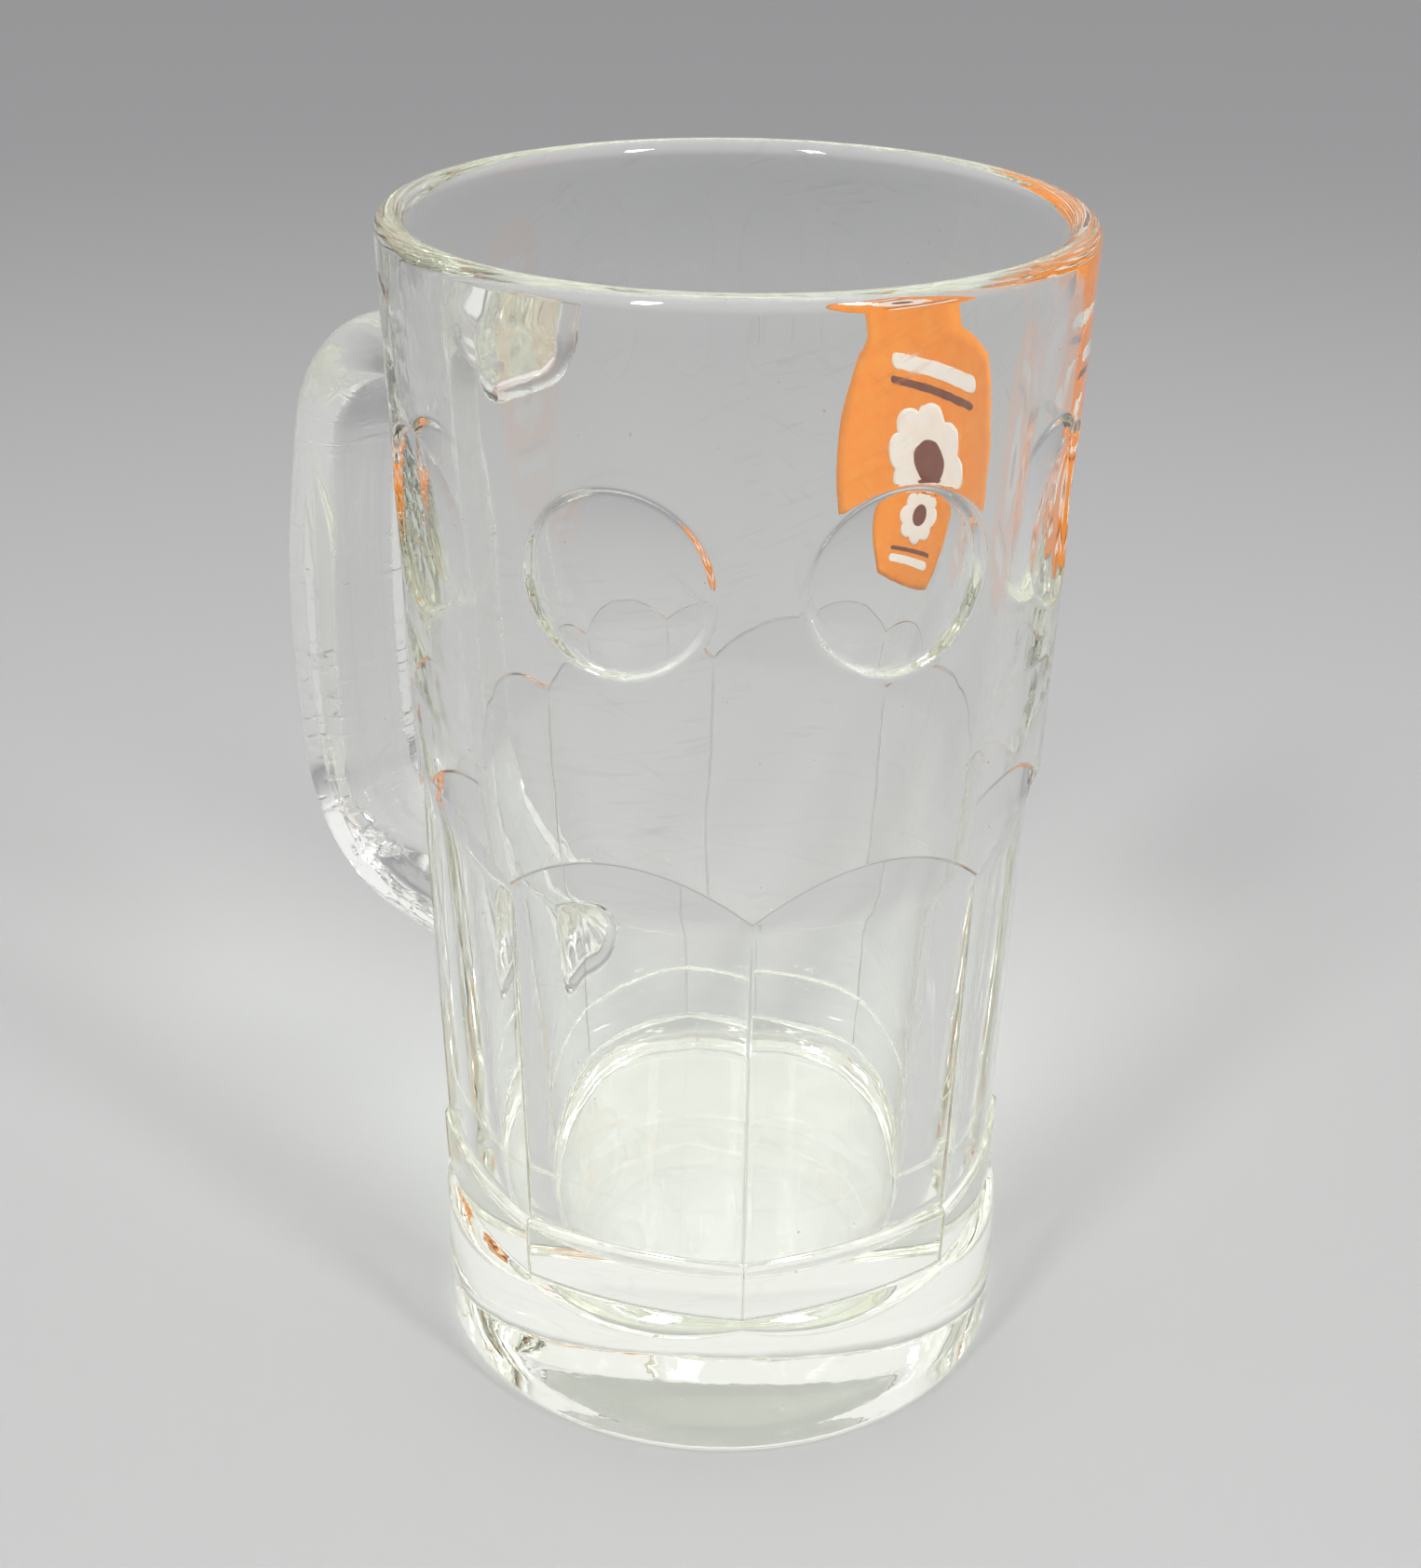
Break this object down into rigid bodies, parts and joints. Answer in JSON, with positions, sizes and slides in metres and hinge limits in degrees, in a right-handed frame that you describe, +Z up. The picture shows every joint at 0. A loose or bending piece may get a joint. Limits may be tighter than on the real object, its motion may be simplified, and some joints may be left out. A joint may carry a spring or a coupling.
{
  "type": "mug",
  "caption": "Tall tapered pressed-glass drinking mug with a thick base, a faceted lower body, round thumbprint hollows, a bowed handle and a small fired enamel print.",
  "frame": {"origin": "centre of the underside, on the mug's axis, at the level it stands on", "axes": "+Z up along the mug's axis; +X from the axis towards the handle; the enamel print faces the side near -Y"},
  "size_m": [0.1207, 0.084, 0.1524],
  "materials": {
    "clear_glass": "fire-polished pressed soda-lime glass, faintly green in its thick parts",
    "orange_enamel": "orange enamel fired onto the glass, satin gloss",
    "cream_enamel": "cream enamel fired onto the glass, satin gloss",
    "brown_enamel": "brown enamel fired onto the glass, satin gloss"
  },
  "bodies": {
    "root": {"glass_body": "clear_glass", "handle": "clear_glass", "enamel_ground": "orange_enamel", "enamel_cream": "cream_enamel", "enamel_brown": "brown_enamel"}
  },
  "joints": []
}
